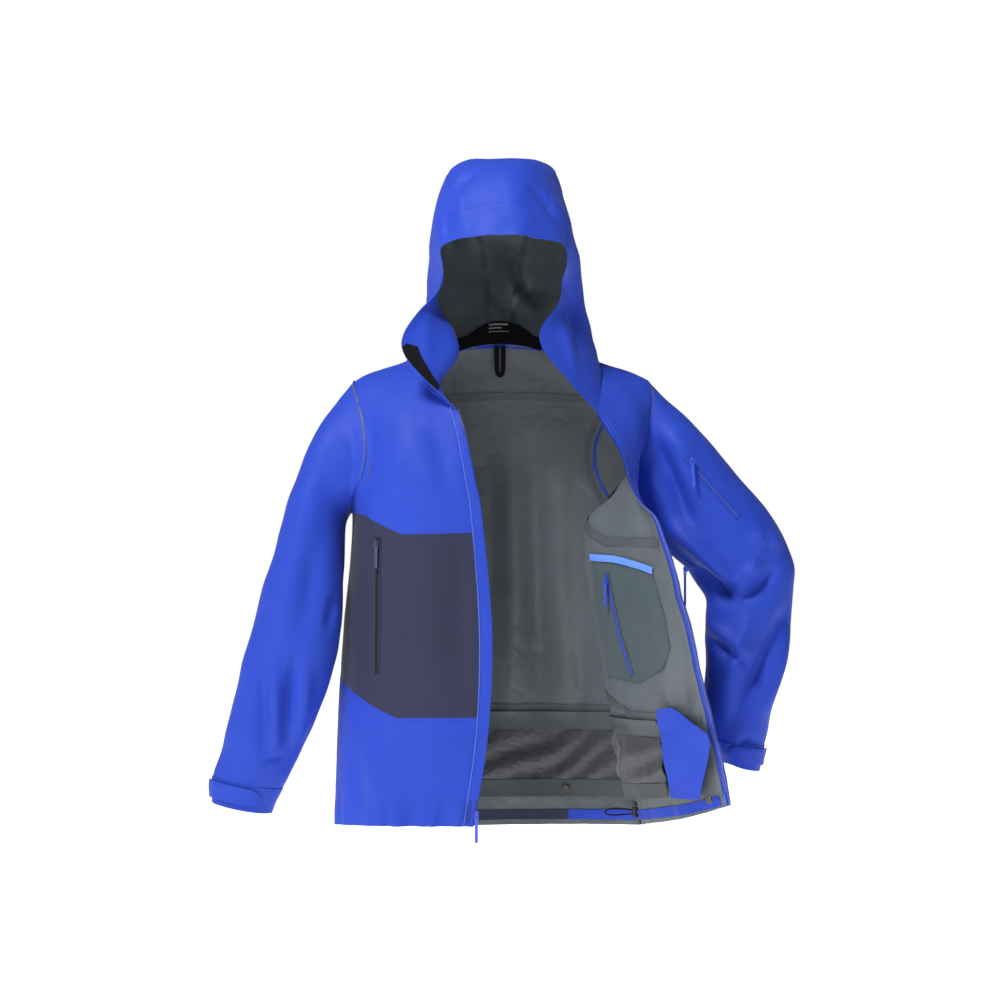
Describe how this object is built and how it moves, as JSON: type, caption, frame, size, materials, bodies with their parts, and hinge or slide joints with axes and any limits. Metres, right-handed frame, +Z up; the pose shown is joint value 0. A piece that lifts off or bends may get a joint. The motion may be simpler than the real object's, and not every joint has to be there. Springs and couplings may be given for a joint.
{
  "type": "hardshell jacket",
  "caption": "Hooded hardshell ski jacket hung open by its neck loop, with zips, powder skirt, inner pocket, cuff tabs and a turned-back front",
  "frame": {"origin": "the top of the hanger loop at the centre of the back neck, where the jacket is held", "axes": "+Z up, -Y the front, which faces the viewer, +X the wearer's left"},
  "size_m": [0.9371, 0.362, 1.0851],
  "materials": {
    "shell_blue": "smooth laminated shell cloth with a faint fine weave and a dull sheen",
    "shell_navy": "the same shell cloth in dark slate navy",
    "black_trim": "brushed black trim cloth and braided cord",
    "black_plastic": "moulded, matt",
    "lining_band": "flat elastic band, dull",
    "taffeta": "thin gathered taffeta, slight sheen",
    "pocket_lining": "thin woven pocket lining, dull",
    "light_binding": "bound tape edge",
    "zip_blue": "coil zip tape and lacquered sliders, satin",
    "zip_dark": "coated watertight zip, satin",
    "snap_metal": "antiqued metal snap"
  },
  "bodies": {
    "shell": {"right_front_yoke": "shell_blue", "left_front_yoke": "shell_blue", "right_pocket_panel": "shell_navy", "left_pocket_panel": "shell_navy", "right_front_skirt": "shell_blue", "left_front_skirt": "shell_blue", "right_front_placket": "shell_blue", "left_front_placket": "shell_blue", "back_yoke": "shell_blue", "back_panel": "shell_blue", "back_hem_panel": "shell_navy", "right_pocket_zip": "zip_dark", "left_pocket_zip": "zip_dark", "right_zip_tape": "zip_blue", "left_zip_tape": "zip_blue", "zip_box": "zip_blue", "zip_pin": "zip_blue", "inner_pocket": "pocket_lining", "inner_pocket_binding": "light_binding", "inner_pocket_zip": "zip_blue", "powder_skirt": "taffeta", "powder_skirt_band": "lining_band", "band_snap": "snap_metal", "hanger_loop": "black_trim", "cord_lock": "black_plastic", "hem_cord": "black_trim"},
    "hood": {"hood_crown": "shell_blue", "hood_right_side": "shell_blue", "hood_left_side": "shell_blue", "hood_brim": "shell_blue", "chin_guard": "black_trim", "neck_patch": "black_trim"},
    "right_arm": {"right_sleeve": "shell_blue", "right_cuff": "shell_blue", "right_pit_zip": "zip_blue"},
    "left_arm": {"left_sleeve": "shell_blue", "left_cuff": "shell_blue", "left_pit_zip": "zip_blue", "sleeve_pocket_zip": "zip_blue"},
    "right_tab": {"right_cuff_tab": "shell_blue"},
    "left_tab": {"left_cuff_tab": "shell_blue"},
    "flap": {"skirt_flap": "shell_blue", "flap_snap_upper": "snap_metal", "flap_snap_lower": "snap_metal"},
    "button": {"lock_button": "black_plastic"},
    "main_runner": {"main_slider": "zip_blue"},
    "main_puller": {"main_pull": "zip_blue"},
    "right_pocket_runner": {"right_pocket_slider": "zip_dark"},
    "right_pocket_puller": {"right_pocket_pull": "zip_dark"},
    "left_pocket_runner": {"left_pocket_slider": "zip_dark"},
    "left_pocket_puller": {"left_pocket_pull": "zip_dark"},
    "inner_pocket_runner": {"inner_pocket_slider": "zip_blue"},
    "inner_pocket_puller": {"inner_pocket_pull": "zip_blue"},
    "sleeve_pocket_runner": {"sleeve_pocket_slider": "zip_blue"},
    "sleeve_pocket_puller": {"sleeve_pocket_pull": "zip_blue"},
    "right_pit_runner": {"right_pit_slider": "zip_blue"},
    "right_pit_puller": {"right_pit_pull": "zip_blue"},
    "left_pit_runner": {"left_pit_slider": "zip_blue"},
    "left_pit_puller": {"left_pit_pull": "zip_blue"}
  },
  "joints": [
    {"name": "hood_tilt", "type": "hinge", "parent": "shell", "child": "hood", "pos_m": [0, 0.008, 0], "axis": [-1, 0, 0], "range_deg": [0, 35]},
    {"name": "right_arm_swing", "type": "hinge", "parent": "shell", "child": "right_arm", "pos_m": [-0.246, -0.082, -0.085], "axis": [0, 1, 0], "range_deg": [0, 30]},
    {"name": "left_arm_swing", "type": "hinge", "parent": "shell", "child": "left_arm", "pos_m": [0.243, -0.075, -0.085], "axis": [0, -1, 0], "range_deg": [0, 18]},
    {"name": "right_tab_turn", "type": "hinge", "parent": "right_arm", "child": "right_tab", "pos_m": [-0.46069, -0.15143, -0.6962], "axis": [-0.0011, 0, -1], "range_deg": [0, 60]},
    {"name": "left_tab_turn", "type": "hinge", "parent": "left_arm", "child": "left_tab", "pos_m": [0.42555, -0.13973, -0.64655], "axis": [0.229, 0, 0.9734], "range_deg": [0, 60]},
    {"name": "flap_turn", "type": "hinge", "parent": "shell", "child": "flap", "pos_m": [0.25405, -0.22956, -0.61751], "axis": [0.3458, -0.0996, -0.933], "range_deg": [0, 60]},
    {"name": "lock_press", "type": "slide", "parent": "shell", "child": "button", "axis": [0, 0, -1], "range_m": [0, 0.0025], "stiffness_N_per_m": 200},
    {"name": "main_run", "type": "hinge", "parent": "shell", "child": "main_runner", "pos_m": [-1.332, -0.23, -0.488], "axis": [0, -1, 0], "range_deg": [0, 19.5]},
    {"name": "main_swing", "type": "hinge", "parent": "main_runner", "child": "main_puller", "pos_m": [-0.03667, -0.2324, -0.742], "axis": [-1, 0, 0], "range_deg": [0, 120]},
    {"name": "right_pocket_run", "type": "slide", "parent": "shell", "child": "right_pocket_runner", "axis": [-0.0115, 0.0155, -0.9998], "range_m": [0, 0.1948]},
    {"name": "right_pocket_swing", "type": "hinge", "parent": "right_pocket_runner", "child": "right_pocket_puller", "pos_m": [-0.19307, -0.21393, -0.32254], "axis": [-0.8635, 0.5043, 0], "range_deg": [-0.4, 120]},
    {"name": "left_pocket_run", "type": "slide", "parent": "shell", "child": "left_pocket_runner", "axis": [0.1364, 0.0058, -0.9906], "range_m": [0, 0.1869]},
    {"name": "left_pocket_swing", "type": "hinge", "parent": "left_pocket_runner", "child": "left_pocket_puller", "pos_m": [0.15366, -0.11781, -0.33056], "axis": [0.5187, -0.8549, 0], "range_deg": [0, 120]},
    {"name": "inner_pocket_run", "type": "slide", "parent": "shell", "child": "inner_pocket_runner", "axis": [0.2126, -0.0886, -0.9731], "range_m": [0, 0.1369]},
    {"name": "inner_pocket_swing", "type": "hinge", "parent": "inner_pocket_runner", "child": "inner_pocket_puller", "pos_m": [0.16615, -0.16207, -0.38354], "axis": [-0.6185, 0.7858, 0], "range_deg": [-6.6, 120]},
    {"name": "sleeve_pocket_run", "type": "slide", "parent": "left_arm", "child": "sleeve_pocket_runner", "axis": [0.6517, -0.1515, -0.7432], "range_m": [0, 0.1059]},
    {"name": "sleeve_pocket_swing", "type": "hinge", "parent": "sleeve_pocket_runner", "child": "sleeve_pocket_puller", "pos_m": [0.30323, -0.16685, -0.19083], "axis": [-0.9932, -0.116, 0], "range_deg": [0, 120]},
    {"name": "right_pit_run", "type": "slide", "parent": "right_arm", "child": "right_pit_runner", "axis": [0.0592, 0.2316, 0.971], "range_m": [0, 0.1182]},
    {"name": "right_pit_swing", "type": "hinge", "parent": "right_pit_runner", "child": "right_pit_puller", "pos_m": [-0.2603, -0.10538, -0.41875], "axis": [0.7603, -0.6495, 0], "range_deg": [-12.5, 8]},
    {"name": "left_pit_run", "type": "slide", "parent": "left_arm", "child": "left_pit_runner", "axis": [-0.6351, 0.2432, 0.7331], "range_m": [0, 0.1028]},
    {"name": "left_pit_swing", "type": "hinge", "parent": "left_pit_runner", "child": "left_pit_puller", "pos_m": [0.29309, -0.14989, -0.36525], "axis": [-0.5183, 0.8552, 0], "range_deg": [-29.6, 120]}
  ]
}
